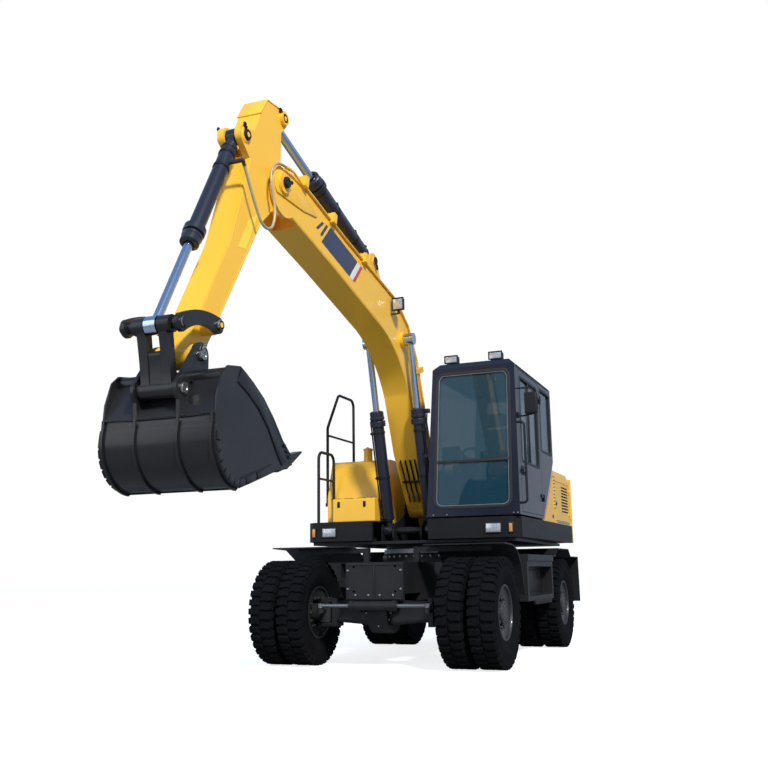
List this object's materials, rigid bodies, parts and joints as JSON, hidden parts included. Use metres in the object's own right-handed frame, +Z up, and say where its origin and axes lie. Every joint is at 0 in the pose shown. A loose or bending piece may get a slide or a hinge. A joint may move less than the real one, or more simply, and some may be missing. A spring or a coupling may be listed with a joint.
{
  "type": "wheeled excavator",
  "caption": "Excavator on twin-tyred wheels with a slewing cab and engine deck, a one-piece boom, arm and curled digging bucket.",
  "frame": {"origin": "on the ground under the middle of the whole machine, bucket to counterweight", "axes": "+X forward to the bucket, +Y to the machine's left, +Z up"},
  "size_m": [7.7058, 2.755, 4.9089],
  "materials": {
    "bare_steel": "machined",
    "black_paint": "satin",
    "cab_paint": "satin",
    "chrome": "polished",
    "cylinder_paint": "gloss",
    "glass": "clear",
    "hose": "braided",
    "lamp": "clear lens over a bright bowl",
    "rim": "satin",
    "trim": "moulded",
    "tyre": "matt",
    "yellow_paint": "gloss"
  },
  "bodies": {
    "chassis": {"chassis_frame": "black_paint", "slew_ring": "bare_steel", "front_axle": "black_paint", "rear_axle": "black_paint", "propshaft": "black_paint", "steering_cylinder": "black_paint", "front_fenders": "black_paint", "rear_fenders": "black_paint", "step_boxes": "black_paint"},
    "steering_bar": {"steering_rod": "chrome"},
    "upper": {"upper_frame": "black_paint", "lamps": "lamp", "counterweight": "yellow_paint", "engine_hood": "yellow_paint", "engine_block": "black_paint", "side_cover": "yellow_paint", "exhaust": "black_paint", "fuel_tank": "yellow_paint", "oil_tank": "yellow_paint", "tool_box": "yellow_paint", "handrails": "black_paint", "valve_block": "black_paint", "cab_shell": "cab_paint", "seat": "trim", "consoles": "trim", "steering_column": "trim", "mirror": "black_paint", "grab_rail": "black_paint", "cab_glass": "glass", "skirts": "black_paint"},
    "door": {"cab_door": "cab_paint", "door_glass": "glass"},
    "boom_cylinders": {"boom_barrels": "cylinder_paint"},
    "boom_pistons": {"boom_rods": "chrome"},
    "lid": {"hood_lid": "yellow_paint"},
    "engine_door_left": {"hood_door_left": "yellow_paint"},
    "engine_door_right": {"hood_door_right": "yellow_paint"},
    "boom_body": {"boom": "yellow_paint", "boom_pipes": "yellow_paint", "boom_lamp": "lamp", "hose_elbow": "hose"},
    "arm_body": {"arm": "yellow_paint"},
    "bucket_body": {"bucket": "black_paint"},
    "rocker": {"rocker_links": "black_paint"},
    "link": {"bucket_link": "black_paint"},
    "arm_cylinder": {"arm_barrel": "cylinder_paint"},
    "arm_piston": {"arm_rod": "chrome"},
    "bucket_cylinder": {"bucket_barrel": "cylinder_paint"},
    "bucket_piston": {"bucket_rod": "chrome"},
    "swivel_left": {"knuckle_left": "black_paint"},
    "wheels_front_left": {"tyres_front_left": "tyre", "rims_front_left": "rim"},
    "wheels_rear_left": {"tyres_rear_left": "tyre", "rims_rear_left": "rim"},
    "swivel_right": {"knuckle_right": "black_paint"},
    "wheels_front_right": {"tyres_front_right": "tyre", "rims_front_right": "rim"},
    "wheels_rear_right": {"tyres_rear_right": "tyre", "rims_rear_right": "rim"}
  },
  "joints": [
    {"name": "slew", "type": "hinge", "parent": "chassis", "child": "upper", "pos_m": [-1.66, -0.1, 1.176], "axis": [0, 0, 1], "continuous": true},
    {"name": "boom_raise", "type": "hinge", "parent": "upper", "child": "boom_body", "pos_m": [-1.56, -0.206, 1.68], "axis": [0, -1, 0], "range_deg": [-68, 26]},
    {"name": "arm_in", "type": "hinge", "parent": "boom_body", "child": "arm_body", "pos_m": [2.27, -0.206, 4.19], "axis": [0, 1, 0], "range_deg": [-58, 50]},
    {"name": "bucket_curl", "type": "hinge", "parent": "arm_body", "child": "bucket_body", "pos_m": [3.49, -0.206, 2.42], "axis": [0, 1, 0], "range_deg": [-110, 30]},
    {"name": "rocker_swing", "type": "hinge", "parent": "arm_body", "child": "rocker", "pos_m": [3.35, -0.206, 2.664], "axis": [0, 1, 0], "range_deg": [-81.96, 22.36]},
    {"name": "link_swing", "type": "hinge", "parent": "bucket_body", "child": "link", "pos_m": [3.7, -0.206, 2.15], "axis": [0, 1, 0], "range_deg": [-18.01, 66.01]},
    {"name": "bucket_cylinder_swing", "type": "hinge", "parent": "arm_body", "child": "bucket_cylinder", "pos_m": [2.81, -0.206, 4.4], "axis": [0, 1, 0], "range_deg": [-0.07, 0.03]},
    {"name": "bucket_piston_slide", "type": "slide", "parent": "bucket_cylinder", "child": "bucket_piston", "axis": [0.4747, 0, -0.8801], "range_m": [-0.57646, 0.15758]},
    {"name": "boom_cylinder_swing", "type": "hinge", "parent": "upper", "child": "boom_cylinders", "pos_m": [-1.11, -0.206, 1.38], "axis": [0, -1, 0], "range_deg": [-70.32, 26.9]},
    {"name": "boom_piston_slide", "type": "slide", "parent": "boom_cylinders", "child": "boom_pistons", "axis": [0.2655, 0, 0.9641], "range_m": [-0.60433, 0.23137]},
    {"name": "arm_cylinder_swing", "type": "hinge", "parent": "boom_body", "child": "arm_cylinder", "pos_m": [0.06, -0.206, 4.195], "axis": [0, -1, 0], "range_deg": [-0.2, 0.18]},
    {"name": "arm_piston_slide", "type": "slide", "parent": "arm_cylinder", "child": "arm_piston", "axis": [0.9583, 0, 0.2857], "range_m": [-0.59616, 0.514]},
    {"name": "steer", "type": "hinge", "parent": "chassis", "child": "swivel_left", "pos_m": [-0.04, 0.54, 0.5275], "axis": [0, 0, 1], "range_deg": [-25, 25]},
    {"name": "steer_right", "type": "hinge", "parent": "chassis", "child": "swivel_right", "pos_m": [-0.04, -0.74, 0.5275], "axis": [0, 0, 1], "range_deg": [-25.01, 25.01]},
    {"name": "steering_slide", "type": "slide", "parent": "chassis", "child": "steering_bar", "axis": [0, 1, 0], "range_m": [-0.1314, 0.1314]},
    {"name": "roll_front_left", "type": "hinge", "parent": "swivel_left", "child": "wheels_front_left", "pos_m": [-0.04, 0.885, 0.5275], "axis": [0, 1, 0], "continuous": true},
    {"name": "roll_rear_left", "type": "hinge", "parent": "chassis", "child": "wheels_rear_left", "pos_m": [-2.84, 0.885, 0.5275], "axis": [0, 1, 0], "continuous": true},
    {"name": "roll_front_right", "type": "hinge", "parent": "swivel_right", "child": "wheels_front_right", "pos_m": [-0.04, -1.085, 0.5275], "axis": [0, 1, 0], "continuous": true},
    {"name": "roll_rear_right", "type": "hinge", "parent": "chassis", "child": "wheels_rear_right", "pos_m": [-2.84, -1.085, 0.5275], "axis": [0, 1, 0], "continuous": true},
    {"name": "cab_door_swing", "type": "hinge", "parent": "upper", "child": "door", "pos_m": [-1.915, 1.162, 2.3], "axis": [0, 0, 1], "range_deg": [0, 95]},
    {"name": "lid_lift", "type": "hinge", "parent": "upper", "child": "lid", "pos_m": [-3.56, -0.1, 2.204], "axis": [0, -1, 0], "range_deg": [0, 60]},
    {"name": "engine_door_left_swing", "type": "hinge", "parent": "upper", "child": "engine_door_left", "pos_m": [-3.55, 1.139, 1.765], "axis": [0, 0, 1], "range_deg": [0, 100]},
    {"name": "engine_door_right_swing", "type": "hinge", "parent": "upper", "child": "engine_door_right", "pos_m": [-3.55, -1.339, 1.765], "axis": [0, 0, -1], "range_deg": [0, 100]}
  ],
  "couplings": [
    {"joint": "rocker_swing", "follows": "bucket_curl", "ratio": 0.745},
    {"joint": "link_swing", "follows": "bucket_curl", "ratio": -0.6},
    {"joint": "bucket_cylinder_swing", "follows": "bucket_curl", "ratio": 0.0005},
    {"joint": "bucket_piston_slide", "follows": "bucket_curl", "m_per_rad": 0.3},
    {"joint": "boom_cylinder_swing", "follows": "boom_raise", "ratio": 1.0339},
    {"joint": "boom_piston_slide", "follows": "boom_raise", "m_per_rad": 0.50877},
    {"joint": "arm_cylinder_swing", "follows": "arm_in", "ratio": 0.003274},
    {"joint": "arm_piston_slide", "follows": "arm_in", "m_per_rad": 0.58843},
    {"joint": "steer_right", "follows": "steer", "ratio": 1},
    {"joint": "steering_slide", "follows": "steer", "m_per_rad": 0.3}
  ]
}
